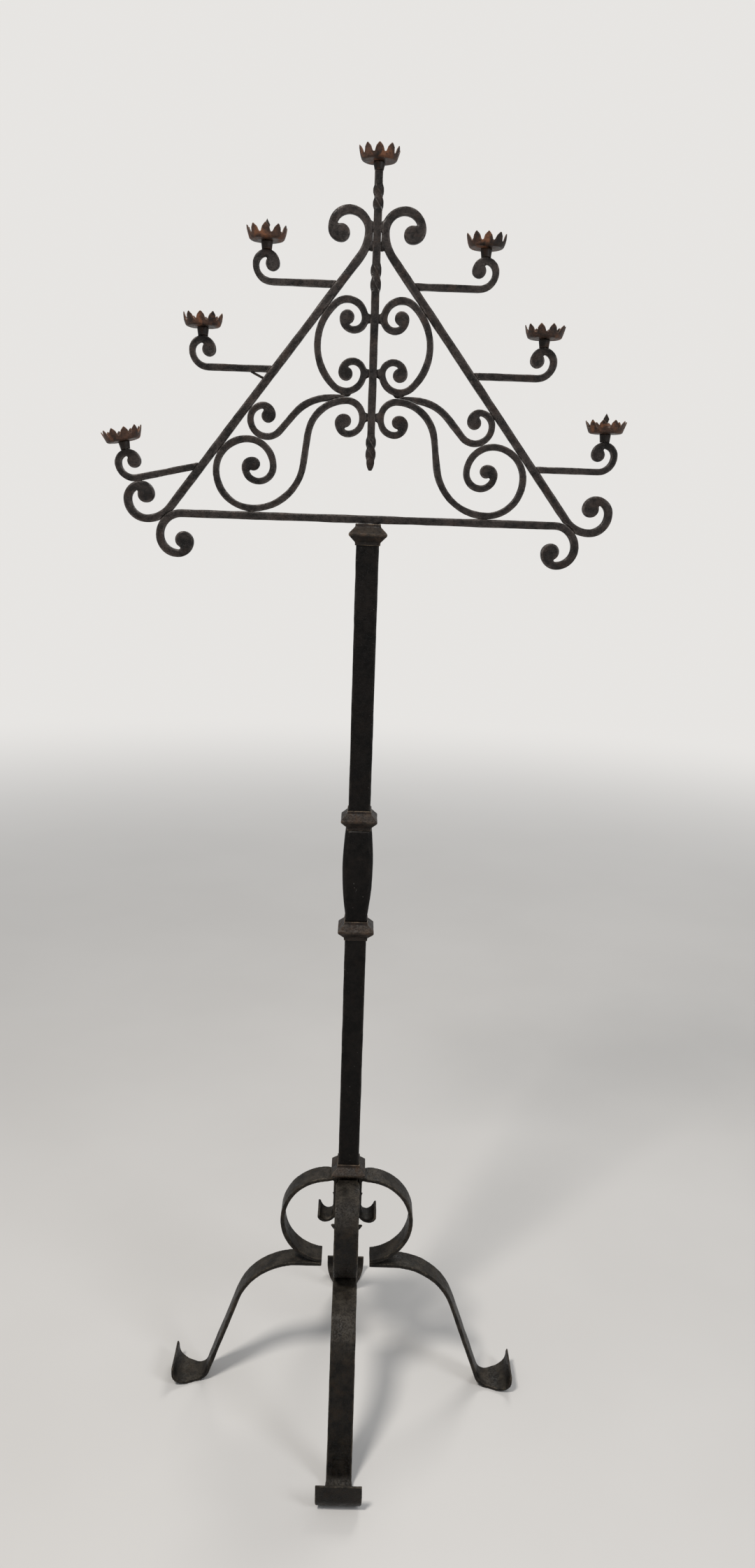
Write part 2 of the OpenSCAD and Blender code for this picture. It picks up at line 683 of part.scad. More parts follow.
// Short stub, saddled onto the curl under it and riveted over inside the cup
module stem() {
  color(collar_colour)
    union() {
      difference() {
        translate([0, 0, -3])
          rotate_extrude($fn = 64)
            polygon([[0, 0], [stem_r - 1, 0], [stem_r - 1, 4], [stem_r, stem_h + 1.5],
              [stem_r, stem_h + 3], [0, stem_h + 3]]);
        translate([0, 0, -arm_curl_r - arm_w / 2])
          rotate([90, 0, 0])
            cylinder(h = 4 * stem_r, r = arm_curl_r + arm_w / 2 + seat, center = true, $fn = 96);
      }
      rivet();
    }
}
module top_stem() {
  color(collar_colour)
    union() {
      rotate_extrude($fn = 64)
        polygon([[0, 0], [rod_w / 2 + 0.5, 0], [stem_r, stem_h - 2], [stem_r, stem_h], [0, stem_h]]);
      rivet();
    }
}

// Outline of the cup's wall, outside then inside, from the floor's middle outwards
corner_r = 4;
wall_a = atan2(cup_h - corner_r, cup_r - cup_floor_r - corner_r * 0.6);
function wall_out(d) = concat(
  [for (a = [-90:15:wall_a - 90]) [cup_floor_r, corner_r] + (corner_r - d) * polar(a)],
  [[cup_r, cup_h] + d * [-sin(wall_a), cos(wall_a)]]);
module cup_shell() {
  outer = wall_out(0);
  inner = wall_out(cup_t);
  rotate_extrude($fn = 96)
    polygon(concat([[rivet_r + fit, 0]], outer,
      [for (i = [len(inner) - 1:-1:0]) inner[i]], [[rivet_r + fit, cup_t]]));
}
// Half-width of the space between two petals, at each height above the wall
pitch = 360 / petals;
petal_h = cup_h - cup_wall_h;
gap_full = cup_r * sin(pitch / 2);
gap_pts = [[0.8, -0.9], [1.5, 0], [gap_full * 0.3, petal_h * 0.3], [gap_full * 0.42, petal_h * 0.55],
  [gap_full * 0.66, petal_h * 0.78], [gap_full * 0.95, petal_h * 1.05], [gap_full * 1.2, petal_h * 1.4]];
module petal_gap() {
  translate([0, 0, cup_wall_h])
    rotate([90, 0, 90])
      linear_extrude(cup_r + 10)
        polygon(concat(gap_pts, [for (i = [len(gap_pts) - 1:-1:0]) [-gap_pts[i][0], gap_pts[i][1]]]));
}
module cup(turned_by = 0) {
  color(cup_colour)
    translate([0, 0, stem_h + seat])
      difference() {
        cup_shell();
        for (i = [0:petals - 1])
          rotate([0, 0, pitch * (i + 0.5 + turned_by) + 90])
            petal_gap();
      }
}
// Leaf-shaped spike on the rivet's head
spike_w = 7.4;
spike_t = 2.4;
module spike() {
  foot_h = stem_h + cup_t + rivet_head_h + 3 * seat;
  tip = spike_h - rivet_head_h - cup_t;
  color(collar_colour)
    translate([0, 0, foot_h])
      rotate([90, 0, 0])
        linear_extrude(spike_t, center = true)
          polygon([[-1.6, 0], [1.6, 0], [1.3, 0.4 * tip], [spike_w / 2, 0.68 * tip],
            [0.8, 0.92 * tip], [0, tip], [-0.8, 0.92 * tip], [-spike_w / 2, 0.68 * tip], [-1.3, 0.4 * tip]]);
}

// Thin wire brace welded under the middle left arm
brace_w = 2.4;
brace_reach = 14;
brace_drop = 11;
module arm_brace() {
  p = [rail_x(level_z(1) - brace_drop, -rail_w / 2 - seat), level_z(1) - brace_drop];
  q = [p[0] + brace_reach, level_z(1) - arm_w / 2 - seat];
  a = atan2(q[1] - p[1], q[0] - p[0]);
  color(collar_colour)
    mirror([1, 0, 0])
      rotate([90, 0, 0])
        linear_extrude(brace_w, center = true)
          polygon([p + [0.76, -1] * brace_w / 2, p + [-0.76, 1] * brace_w / 2,
            q - [1.2 * brace_w, 0], q + [1.2 * brace_w, 0]]);
}

// ---------- the pieces ----------
base_scroll("front");  // base_scroll_front
base_scroll("right");  // base_scroll_right
base_scroll("back");  // base_scroll_back
base_scroll("left");  // base_scroll_left
leg("front");  // leg_front
leg("right");  // leg_right
leg("back");  // leg_back
leg("left");  // leg_left
base_collar();
lower_post();
lower_mid_collar();
baluster();
upper_mid_collar();
upper_post();
top_collar();
base_bar();
rail("left");  // rail_left
rail("right");  // rail_right
centre_rod();
c_scroll("left");  // c_scroll_left
c_scroll("right");  // c_scroll_right
big_scroll("left");  // big_scroll_left
big_scroll("right");  // big_scroll_right
small_scroll("left");  // small_scroll_left
small_scroll("right");  // small_scroll_right
arm("left", fallen, arm_sag);  // arm_lower_left
arm("left", 1);  // arm_middle_left
arm("left", 2);  // arm_upper_left
arm("right", 0);  // arm_lower_right
arm("right", 1);  // arm_middle_right
arm("right", 2);  // arm_upper_right
on_arm("left", fallen, arm_sag) stem();  // stem_lower_left
on_arm("left", 1) stem();  // stem_middle_left
on_arm("left", 2) stem();  // stem_upper_left
on_arm("right", 0) stem();  // stem_lower_right
on_arm("right", 1) stem();  // stem_middle_right
on_arm("right", 2) stem();  // stem_upper_right
on_rod() top_stem();  // stem_top
on_arm("left", fallen, arm_sag) cup(0.5);  // cup_lower_left
on_arm("left", 1) cup();  // cup_middle_left
on_arm("left", 2) cup();  // cup_upper_left
on_arm("right", 0) cup(0.5);  // cup_lower_right
on_arm("right", 1) cup(0.5);  // cup_middle_right
on_arm("right", 2) cup();  // cup_upper_right
on_rod() cup();  // cup_top
on_arm("left", 2) spike();  // spike_upper_left
on_arm("right", 0) spike();  // spike_lower_right
arm_brace();
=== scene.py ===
# Wrought-iron candle rack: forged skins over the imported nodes, iron finishes, studio and camera.
import math

import bmesh
import bpy
from mathutils import Matrix, Vector


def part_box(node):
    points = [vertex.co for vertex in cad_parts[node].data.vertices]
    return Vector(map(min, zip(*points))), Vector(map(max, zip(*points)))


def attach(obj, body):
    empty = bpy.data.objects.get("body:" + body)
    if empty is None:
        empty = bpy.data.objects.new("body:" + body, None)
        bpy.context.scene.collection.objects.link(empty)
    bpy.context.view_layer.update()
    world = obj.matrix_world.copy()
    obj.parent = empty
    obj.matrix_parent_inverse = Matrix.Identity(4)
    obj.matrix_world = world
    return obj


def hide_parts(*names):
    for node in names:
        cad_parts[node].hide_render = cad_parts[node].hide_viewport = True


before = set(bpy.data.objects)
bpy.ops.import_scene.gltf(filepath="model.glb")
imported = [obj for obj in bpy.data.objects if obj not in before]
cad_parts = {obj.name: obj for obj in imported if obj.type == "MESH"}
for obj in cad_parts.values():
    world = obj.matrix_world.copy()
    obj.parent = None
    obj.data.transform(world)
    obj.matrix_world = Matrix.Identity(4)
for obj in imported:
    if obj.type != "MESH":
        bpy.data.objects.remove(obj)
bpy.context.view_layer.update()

# ---------------------------------------------------------------- node helpers


def add_node(tree, kind, label, at, **values):
    """One shader node; values set its properties."""
    made = tree.nodes.new(kind)
    made.label = label
    made.location = at
    for key, value in values.items():
        setattr(made, key, value)
    return made


def feed(tree, source, target):
    """Joins an output to an input."""
    tree.links.new(source, target)


def noise_of(tree, label, at, vector, scale, detail, rough, distort=0.0):
    """A noise over vector, as a value."""
    made = add_node(tree, "ShaderNodeTexNoise", label, at)
    made.inputs["Scale"].default_value = scale
    made.inputs["Detail"].default_value = detail
    made.inputs["Roughness"].default_value = rough
    made.inputs["Distortion"].default_value = distort
    feed(tree, vector, made.inputs["Vector"])
    return made.outputs["Fac"]


def span(tree, label, at, value, low, high, to_low=0.0, to_high=1.0):
    """Maps low..high on to to_low..to_high, held at both ends."""
    made = add_node(tree, "ShaderNodeMapRange", label, at, interpolation_type="SMOOTHSTEP")
    made.inputs["From Min"].default_value = low
    made.inputs["From Max"].default_value = high
    made.inputs["To Min"].default_value = to_low
    made.inputs["To Max"].default_value = to_high
    feed(tree, value, made.inputs["Value"])
    return made.outputs["Result"]


def blend_colour(tree, label, at, share, first, second):
    """Goes from first to second by share; each is a socket or a plain colour."""
    made = add_node(tree, "ShaderNodeMix", label, at, data_type="RGBA")
    feed(tree, share, made.inputs["Factor"])
    for name, value in (("A", first), ("B", second)):
        place = [s for s in made.inputs if s.name == name and s.type == "RGBA"][0]
        if isinstance(value, bpy.types.NodeSocket):
            feed(tree, value, place)
        else:
            place.default_value = (*value, 1.0)
    return [s for s in made.outputs if s.type == "RGBA"][0]


def reckon(tree, label, at, work, first, second, clamp=False):
    """One sum; first and second are sockets or plain numbers."""
    made = add_node(tree, "ShaderNodeMath", label, at, operation=work, use_clamp=clamp)
    for place, value in zip(made.inputs, (first, second)):
        if isinstance(value, bpy.types.NodeSocket):
            feed(tree, value, place)
        else:
            place.default_value = value
    return made.outputs[0]


def start_group(name, inputs, outputs):
    """An empty group with its sockets made; gives the tree, what comes in and what goes out."""
    tree = bpy.data.node_groups.new(name, "ShaderNodeTree")
    for title, kind, default in inputs:
        made = tree.interface.new_socket(title, in_out="INPUT", socket_type=kind)
        if default is not None:
            made.default_value = default
    for title, kind in outputs:
        tree.interface.new_socket(title, in_out="OUTPUT", socket_type=kind)
    way_in = add_node(tree, "NodeGroupInput", "in", (-1400, 0))
    way_out = add_node(tree, "NodeGroupOutput", "out", (1200, 0))
    return tree, way_in.outputs, way_out.inputs


# ---------------------------------------------------------------- shared effects


def make_hammer_group():
    """Shallow hammer flats, with scale pits and a fine grain between them."""
    tree, given, out = start_group(
        "hammered skin",
        [("Vector", "NodeSocketVector", None), ("Flats", "NodeSocketFloat", 70.0),
         ("Pits", "NodeSocketFloat", 420.0), ("Pit depth", "NodeSocketFloat", 0.35)],
        [("Height", "NodeSocketFloat"), ("Pit mask", "NodeSocketFloat")])
    flats = add_node(tree, "ShaderNodeTexVoronoi", "hammer flats", (-900, 300), feature="SMOOTH_F1")
    flats.inputs["Smoothness"].default_value = 0.55
    feed(tree, given["Vector"], flats.inputs["Vector"])
    feed(tree, given["Flats"], flats.inputs["Scale"])
    pits = add_node(tree, "ShaderNodeTexNoise", "scale pits", (-900, -50))
    pits.inputs["Detail"].default_value = 5.0
    pits.inputs["Roughness"].default_value = 0.6
    feed(tree, given["Vector"], pits.inputs["Vector"])
    feed(tree, given["Pits"], pits.inputs["Scale"])
    mask = span(tree, "pits only", (-600, -50), pits.outputs["Fac"], 0.36, 0.50, 1.0, 0.0)
    grain = noise_of(tree, "grain", (-900, -350), given["Vector"], 1500.0, 3.0, 0.6)
    depth = reckon(tree, "pit depth", (-350, -50), "MULTIPLY", mask, given["Pit depth"])
    low = reckon(tree, "flats less pits", (-100, 150), "SUBTRACT", flats.outputs["Distance"], depth)
    fine = reckon(tree, "fine grain", (-350, -350), "MULTIPLY", grain, 0.10)
    feed(tree, reckon(tree, "height", (200, 100), "ADD", low, fine), out["Height"])
    feed(tree, mask, out["Pit mask"])
    return tree


def make_worn_group():
    """Blackened iron: deep and main tones, worn ridges, dull rust, dust on what faces up, specks."""
    tree, given, out = start_group(
        "worn iron",
        [("Vector", "NodeSocketVector", None), ("Ridge", "NodeSocketFloat", 0.5),
         ("Up", "NodeSocketFloat", 0.0), ("Pit mask", "NodeSocketFloat", 0.0),
         ("Deep", "NodeSocketColor", (0, 0, 0, 1)), ("Main", "NodeSocketColor", (0, 0, 0, 1)),
         ("Worn", "NodeSocketColor", (0, 0, 0, 1)), ("Rust", "NodeSocketColor", (0, 0, 0, 1)),
         ("Dust", "NodeSocketColor", (0, 0, 0, 1)), ("Wear", "NodeSocketFloat", 0.5),
         ("Rust share", "NodeSocketFloat", 0.3), ("Dust share", "NodeSocketFloat", 0.2),
         ("Speck share", "NodeSocketFloat", 0.3)],
        [("Color", "NodeSocketColor"), ("Roughness", "NodeSocketFloat"), ("Bare", "NodeSocketFloat")])
    v = given["Vector"]
    broad = noise_of(tree, "broad tone", (-1100, 500), v, 22.0, 6.0, 0.62, 0.4)
    close = noise_of(tree, "close tone", (-1100, 250), v, 130.0, 6.0, 0.6, 0.2)
    both = reckon(tree, "both tones", (-850, 400), "ADD", broad, close)
    tone = span(tree, "tone", (-650, 400), both, 0.78, 1.24)
    skin = blend_colour(tree, "skin", (-400, 400), tone, given["Deep"], given["Main"])
    # rust in patches that break up at their edges
    patch = noise_of(tree, "rust patches", (-1100, 0), v, 38.0, 8.0, 0.66, 0.6)
    patch_mask = span(tree, "patch edge", (-850, 0), patch, 0.50, 0.66)
    rust_mask = reckon(tree, "rust amount", (-650, 0), "MULTIPLY", patch_mask, given["Rust share"])
    rusty = blend_colour(tree, "rusty", (-150, 350), rust_mask, skin, given["Rust"])
    # ridges rubbed bare, broken by a noise
    rub = noise_of(tree, "rubbing", (-1100, -250), v, 85.0, 5.0, 0.65)
    ridge = span(tree, "ridge", (-850, -250), given["Ridge"], 0.505, 0.56)
    rubbed = span(tree, "rub edge", (-850, -450), rub, 0.40, 0.62)
    bare = reckon(tree, "bare", (-650, -300), "MULTIPLY", ridge, rubbed)
    bare_mask = reckon(tree, "bare amount", (-450, -300), "MULTIPLY", bare, given["Wear"])
    worn = blend_colour(tree, "worn", (100, 300), bare_mask, rusty, given["Worn"])
    # dust settles on faces that look up
    up = span(tree, "facing up", (-850, -650), given["Up"], 0.35, 0.95)
    dust_noise = noise_of(tree, "dust", (-1100, -800), v, 60.0, 6.0, 0.6)
    dust_edge = span(tree, "dust edge", (-850, -850), dust_noise, 0.38, 0.62, 0.25, 1.0)
    dust = reckon(tree, "dust here", (-650, -700), "MULTIPLY", up, dust_edge)
    dust_mask = reckon(tree, "dust amount", (-450, -700), "MULTIPLY", dust, given["Dust share"])
    dusty = blend_colour(tree, "dusty", (350, 250), dust_mask, worn, given["Dust"])
    # pits stay dark, and a few pale specks sit on top
    pit = reckon(tree, "pit tone", (350, -50), "MULTIPLY", given["Pit mask"], 0.45)
    pitted = blend_colour(tree, "pitted", (600, 200), pit, dusty, given["Deep"])
    speck = noise_of(tree, "specks", (-1100, -1050), v, 330.0, 2.0, 0.5)
    speck_mask = span(tree, "speck edge", (-850, -1050), speck, 0.735, 0.775)
    speck_on = reckon(tree, "speck amount", (-650, -1050), "MULTIPLY", speck_mask, given["Speck share"])
    feed(tree, blend_colour(tree, "specked", (900, 200), speck_on, pitted, given["Dust"]), out["Color"])
    # bare ridges shine a little; rust and dust are dull
    base = span(tree, "rough by tone", (100, -300), close, 0.30, 0.70, 0.36, 0.56)
    dull = reckon(tree, "dull rust", (350, -300), "MULTIPLY", rust_mask, 0.26)
    dull_dust = reckon(tree, "dull dust", (350, -500), "MULTIPLY", dust_mask, 0.22)
    shine = reckon(tree, "rubbed shine", (350, -700), "MULTIPLY", bare_mask, -0.10)
    r1 = reckon(tree, "add rust", (600, -300), "ADD", base, dull)
    r2 = reckon(tree, "add dust", (750, -400), "ADD", r1, dull_dust)
    feed(tree, reckon(tree, "roughness", (900, -400), "ADD", r2, shine, True), out["Roughness"])
    feed(tree, bare_mask, out["Bare"])
    return tree


hammered_skin = make_hammer_group()
worn_iron = make_worn_group()


def iron_finish(name, deep, main, worn, rust, dust, wear, rust_share, dust_share, speck_share, gloss,
                flats=70.0, pits=420.0, pit_depth=0.35, bump=0.6, relief=0.0010,
                sheen_of_metal=0.35):
    """A complete iron material.

    flats and pits are how many hammer flats and scale pits a metre holds, relief is the height of
    the flats in metres, and gloss is the level of the shine.
    """
    made = bpy.data.materials.new(name)
    made.use_nodes = True
    tree = made.node_tree
    tree.nodes.clear()
    out = add_node(tree, "ShaderNodeOutputMaterial", "out", (900, 0))
    body = add_node(tree, "ShaderNodeBsdfPrincipled", "iron", (600, 0))
    body.inputs["Specular IOR Level"].default_value = gloss
    where = add_node(tree, "ShaderNodeTexCoord", "place", (-900, 0))
    shape = add_node(tree, "ShaderNodeNewGeometry", "shape", (-900, -300))
    facing = add_node(tree, "ShaderNodeSeparateXYZ", "facing", (-650, -350))
    feed(tree, shape.outputs["Normal"], facing.inputs[0])
    skin = add_node(tree, "ShaderNodeGroup", "hammered skin", (-350, -250), node_tree=hammered_skin)
    skin.inputs["Flats"].default_value = flats
    skin.inputs["Pits"].default_value = pits
    skin.inputs["Pit depth"].default_value = pit_depth
    feed(tree, where.outputs["Object"], skin.inputs["Vector"])
    coat = add_node(tree, "ShaderNodeGroup", "worn iron", (0, 100), node_tree=worn_iron)
    for title, colour in (("Deep", deep), ("Main", main), ("Worn", worn), ("Rust", rust), ("Dust", dust)):
        coat.inputs[title].default_value = (*colour, 1.0)
    for title, share in (("Wear", wear), ("Rust share", rust_share), ("Dust share", dust_share),
                         ("Speck share", speck_share)):
        coat.inputs[title].default_value = share
    feed(tree, where.outputs["Object"], coat.inputs["Vector"])
    feed(tree, shape.outputs["Pointiness"], coat.inputs["Ridge"])
    feed(tree, facing.outputs["Z"], coat.inputs["Up"])
    feed(tree, skin.outputs["Pit mask"], coat.inputs["Pit mask"])
    feed(tree, coat.outputs["Color"], body.inputs["Base Color"])
    feed(tree, coat.outputs["Roughness"], body.inputs["Roughness"])
    feed(tree, reckon(tree, "bare metal", (300, -150), "MULTIPLY", coat.outputs["Bare"], sheen_of_metal),
         body.inputs["Metallic"])
    rise = add_node(tree, "ShaderNodeBump", "relief", (300, -400))
    rise.inputs["Strength"].default_value = bump
    rise.inputs["Distance"].default_value = relief
    feed(tree, skin.outputs["Height"], rise.inputs["Height"])
    feed(tree, rise.outputs["Normal"], body.inputs["Normal"])
    feed(tree, body.outputs["BSDF"], out.inputs["Surface"])
    return made


frame_black = iron_finish(
    "charcoal frame iron",
    deep=(0.0035, 0.0027, 0.0023), main=(0.0250, 0.0195, 0.0172), worn=(0.125, 0.106, 0.097),
    rust=(0.042, 0.023, 0.015), dust=(0.12, 0.103, 0.095),
    wear=0.75, rust_share=0.30, dust_share=0.34, speck_share=0.30, gloss=0.22, bump=0.9)
post_black = iron_finish(
    "near-black post paint",
    deep=(0.0010, 0.0008, 0.0006), main=(0.0054, 0.0042, 0.0035), worn=(0.060, 0.052, 0.046),
    rust=(0.020, 0.012, 0.008), dust=(0.16, 0.15, 0.14),
    wear=0.50, rust_share=0.12, dust_share=0.22, speck_share=1.0, flats=42.0, relief=0.0008,
    gloss=0.12)
collar_brown = iron_finish(
    "brown collar iron",
    deep=(0.0038, 0.0023, 0.0014), main=(0.0205, 0.0130, 0.0088), worn=(0.145, 0.108, 0.076),
    rust=(0.048, 0.025, 0.012), dust=(0.105, 0.083, 0.062),
    wear=1.0, rust_share=0.60, dust_share=0.25, speck_share=0.40, flats=120.0, relief=0.0008,
    gloss=0.24, bump=0.9)
base_grey = iron_finish(
    "grey-brown base iron",
    deep=(0.0018, 0.0013, 0.0008), main=(0.0122, 0.0092, 0.0063), worn=(0.094, 0.077, 0.057),
    rust=(0.028, 0.017, 0.009), dust=(0.072, 0.061, 0.047),
    wear=0.85, rust_share=0.34, dust_share=0.52, speck_share=0.45, flats=50.0, gloss=0.20, bump=0.9)
stem_brown = iron_finish(
    "dark stem iron",
    deep=(0.0042, 0.0026, 0.0018), main=(0.018, 0.0115, 0.0080), worn=(0.080, 0.058, 0.044),
    rust=(0.060, 0.026, 0.013), dust=(0.10, 0.085, 0.070),
    wear=0.6, rust_share=0.60, dust_share=0.20, speck_share=0.15, flats=180.0, relief=0.0004,
    gloss=0.24)
cup_rust = iron_finish(
    "rusty cup sheet",
    deep=(0.0080, 0.0042, 0.0026), main=(0.068, 0.0330, 0.0205), worn=(0.220, 0.140, 0.098),
    rust=(0.160, 0.064, 0.030), dust=(0.22, 0.165, 0.130),
    wear=0.75, rust_share=0.80, dust_share=0.18, speck_share=0.20, flats=150.0, pits=600.0,
    pit_depth=0.6, relief=0.0005, sheen_of_metal=0.2, gloss=0.26)

# ---------------------------------------------------------------- forged pieces

# Value of the wave's clouds that leaves the surface in place; above it the surface rises
STILL_LEVEL = 0.44

# Points this close to the rack's middle plane are on a weld against the rod
WELD_FACE_X = 0.0056
# Two welds on one piece are at least this far apart in height
WELD_APART = 0.016
# Bead on each weld: its middle's distance from the middle plane, and its half-sizes
BEAD_X = 0.0064
BEAD_WIDE = 0.0040
BEAD_DEEP = 0.0036
BEAD_TALL = 0.0058
# On a tall weld the bead reaches this far past each end
BEAD_PAST_WELD = 0.001
# Bead between a C-scroll's foot and the scroll below it: its drop, and its half-sizes
FOOT_BEAD_DROP = 0.0004
FOOT_BEAD = (0.0062, 0.0033, 0.0026)


def wave_texture(name, scale, depth):
    """Clouds that wave a surface; scale is in metres."""
    wave = bpy.data.textures.new(name, "CLOUDS")
    wave.noise_scale = scale
    wave.noise_depth = depth
    return wave


hammer_wave = wave_texture("hammer wave", 0.030, 2)
sheet_wave = wave_texture("sheet wave", 0.012, 1)


def weld_runs(form):
    """Lowest and highest point of each weld against the rod."""
    runs = []
    for z in sorted(v.co.z for v in form.verts if abs(v.co.x) < WELD_FACE_X):
        if runs and z - runs[-1][1] < WELD_APART:
            runs[-1][1] = z
        else:
            runs.append([z, z])
    return runs


def add_bead(form, centre, half_sizes):
    """An egg-shaped bead."""
    shape = Matrix.Translation(centre) @ Matrix.Diagonal((*half_sizes, 1.0))
    bmesh.ops.create_uvsphere(form, u_segments=24, v_segments=16, radius=1.0, matrix=shape)


def weld_beads(form, node):
    """Rounds the welds, so that each still reaches its neighbour once the skin is eased."""
    side = -1 if node.endswith("left") else 1
    foot = min(form.verts, key=lambda v: v.co.z).co.copy()
    for low, high in weld_runs(form):
        tall = max(BEAD_TALL, (high - low) / 2 + BEAD_PAST_WELD)
        add_bead(form, (side * BEAD_X, 0.0, (low + high) / 2), (BEAD_WIDE, BEAD_DEEP, tall))
    if node.startswith("c_scroll_"):
        add_bead(form, (foot.x, 0.0, foot.z - FOOT_BEAD_DROP), FOOT_BEAD)


def merged_copy(node):
    """The node's own mesh, copied, its loose triangles joined and a bead laid on each weld."""
    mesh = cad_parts[node].data.copy()
    mesh.materials.clear()
    form = bmesh.new()
    form.from_mesh(mesh)
    bmesh.ops.remove_doubles(form, verts=form.verts, dist=1e-6)
    if node.startswith(("rail_", "big_scroll_", "c_scroll_")):
        weld_beads(form, node)
    form.to_mesh(mesh)
    form.free()
    return mesh


def forge(node, finish, grain, rounds, depth, wave=hammer_wave, rework=None):
    """Stands a hammered skin in for a node: an even mesh, its edges eased and its faces waved.

    grain is the even mesh's spacing and depth the wave's height, in metres; rounds is how often
    the edges are eased. rework, if given, bends the finished skin.
    """
    piece = bpy.data.objects.new(node + "_forged", merged_copy(node))
    bpy.context.scene.collection.objects.link(piece)
    even = piece.modifiers.new("even skin", "REMESH")
    even.mode = "VOXEL"
    even.voxel_size = grain * 1.0
    ease = piece.modifiers.new("eased edges", "SMOOTH")
    ease.factor = 0.5
    ease.iterations = rounds
    beat = piece.modifiers.new("hammer work", "DISPLACE")
    beat.texture = wave
    beat.texture_coords = "LOCAL"
    beat.strength = depth
    beat.mid_level = STILL_LEVEL
    settled = piece.evaluated_get(bpy.context.evaluated_depsgraph_get())
    mesh = bpy.data.meshes.new_from_object(settled)
    piece.modifiers.clear()
    rough = piece.data
    piece.data = mesh
    bpy.data.meshes.remove(rough)
    mesh.name = node + "_skin"
    if rework:
        form = bmesh.new()
        form.from_mesh(mesh)
        rework(form, node)
        form.to_mesh(mesh)
        form.free()
    mesh.polygons.foreach_set("use_smooth", [True] * len(mesh.polygons))
    mesh.materials.clear()
    mesh.materials.append(finish)
    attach(piece, "root")
    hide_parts(node)
    return piece


# How each kind of piece is worked, as forge takes it
SCROLL_WORK = {"grain": 0.0013, "rounds": 2, "depth": 0.0012}
ARM_WORK = {"grain": 0.0013, "rounds": 2, "depth": 0.0011}
ROD_WORK = {"grain": 0.0008, "rounds": 2, "depth": 0.0011}
LEG_WORK = {"grain": 0.0012, "rounds": 2, "depth": 0.0011}
BASE_SCROLL_WORK = {"grain": 0.0012, "rounds": 2, "depth": 0.0010}
POST_WORK = {"grain": 0.0014, "rounds": 2, "depth": 0.0009}
COLLAR_WORK = {"grain": 0.0009, "rounds": 2, "depth": 0.0010}
STEM_WORK = {"grain": 0.0006, "rounds": 3, "depth": 0.0006, "wave": sheet_wave}
TOP_STEM_WORK = {"grain": 0.0006, "rounds": 2, "depth": 0.0004, "wave": sheet_wave}
WIRE_WORK = {"grain": 0.0004, "rounds": 2, "depth": 0.0004, "wave": sheet_wave}
CUP_WORK = {"grain": 0.00055, "rounds": 2, "depth": 0.0005, "wave": sheet_wave}

# Each cup has ten petals, turned half a step round on three of the cups
PETALS = 10
HALF_TURNED = ("cup_lower_left", "cup_lower_right", "cup_middle_right")
# Height of the cup's wall, above which it is cut into petals, and the wall's distance from the axis
WALL_H = 0.0072
PETAL_ROOT = 0.0215
# The sagged arm's cup leans out with it
LEAN = {"cup_lower_left": math.radians(12.6)}
# Degrees that every petal leans out by; two waves round the cup are added to it
MEAN_LEAN = -3.0
# Each wave's size in degrees, and its turn by the cup's seed and by the petal's number
SLOW_WAVE = (6.0, 1.0, 2.4)
FAST_WAVE = (3.0, 1.7, 5.1)


def petal_lean(seed, k):
    """Outward lean of petal k, in degrees."""
    lean = MEAN_LEAN
    for size, by_cup, by_petal in (SLOW_WAVE, FAST_WAVE):
        lean += size * math.sin(by_cup * seed + by_petal * k)
    return lean


def bend_petals(form, node):
    """Bends each petal a little its own way, as after years of use."""
    low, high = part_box(node)
    middle = (low + high) / 2
    upright = Matrix.Rotation(LEAN.get(node, 0.0), 4, "Y")
    about_middle = Matrix.Translation(-middle)
    bmesh.ops.transform(form, verts=form.verts, space=about_middle, matrix=upright)
    hinge = min(v.co.z for v in form.verts) + WALL_H
    centre = Vector((middle.x, middle.y, hinge))
    turned = 0.5 if node in HALF_TURNED else 0.0
    step = 2 * math.pi / PETALS
    seed = sum(ord(c) for c in node)
    petals = [[] for _ in range(PETALS)]
    for v in form.verts:
        if v.co.z > hinge:
            angle = math.atan2(v.co.y - centre.y, v.co.x - centre.x)
            petals[int(round((angle - math.pi / 2) / step - turned)) % PETALS].append(v)
    for k, petal in enumerate(petals):
        angle = math.pi / 2 + (k + turned) * step
        out = Vector((math.cos(angle), math.sin(angle), 0.0))
        lean = Matrix.Rotation(-math.radians(petal_lean(seed, k)), 3, out.cross(Vector((0, 0, 1))))
        bmesh.ops.rotate(form, verts=petal, cent=centre + out * PETAL_ROOT, matrix=lean)
    bmesh.ops.transform(form, verts=form.verts, space=about_middle, matrix=upright.inverted())


for side in ("left", "right"):
    for name in ("rail_", "big_scroll_", "c_scroll_", "small_scroll_"):
        forge(name + side, frame_black, **SCROLL_WORK)
    for level in ("lower_", "middle_", "upper_"):
        forge("arm_" + level + side, frame_black, **ARM_WORK)
        forge("stem_" + level + side, stem_brown, **STEM_WORK)
forge("base_bar", frame_black, **ARM_WORK)
forge("centre_rod", frame_black, **ROD_WORK)
for compass in ("front", "right", "back", "left"):
    forge("leg_" + compass, base_grey, **LEG_WORK)
    forge("base_scroll_" + compass, base_grey, **BASE_SCROLL_WORK)
for name in ("lower_post", "upper_post", "baluster"):
    forge(name, post_black, **POST_WORK)
for name in ("base_collar", "lower_mid_collar", "upper_mid_collar", "top_collar"):
    forge(name, collar_brown, **COLLAR_WORK)
forge("stem_top", stem_brown, **TOP_STEM_WORK)
for name in ("spike_upper_left", "spike_lower_right", "arm_brace"):
    forge(name, stem_brown, **WIRE_WORK)
for place in ("lower_left", "middle_left", "upper_left", "lower_right", "middle_right",
              "upper_right", "top"):
    forge("cup_" + place, cup_rust, rework=bend_petals, **CUP_WORK)

# ---------------------------------------------------------------- studio

# Colours of the backdrop and of the floor's two tones
BACKDROP = (0.80, 0.785, 0.765)
FLOOR_DARK = (0.60, 0.585, 0.565)
FLOOR_LIGHT = (0.63, 0.615, 0.595)
FLOOR_R = 40.0
